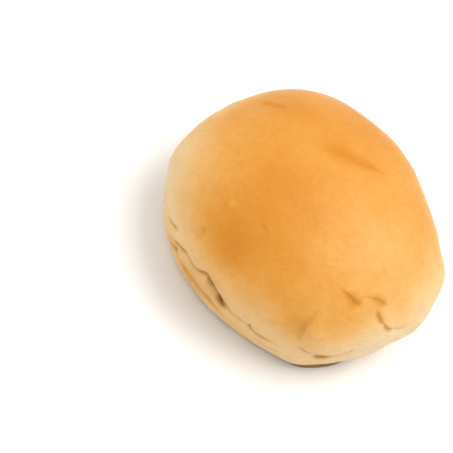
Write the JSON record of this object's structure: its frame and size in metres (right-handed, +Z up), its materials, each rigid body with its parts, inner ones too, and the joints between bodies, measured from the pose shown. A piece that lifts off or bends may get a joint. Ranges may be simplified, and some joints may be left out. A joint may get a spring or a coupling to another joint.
{
  "type": "bread roll",
  "caption": "Soft round white bread roll with a golden domed crown, a pale folded side and a flat base to stand on.",
  "frame": {"origin": "middle of the flat base, on the surface that the roll stands on", "axes": "+Z up through the crown; +X along the roll's longer width; -Y towards the side with the deepest fold under the crown"},
  "size_m": [0.1058, 0.0964, 0.0539],
  "materials": {
    "crust": "satin"
  },
  "bodies": {
    "root": {"bread_roll": "crust"}
  },
  "joints": []
}
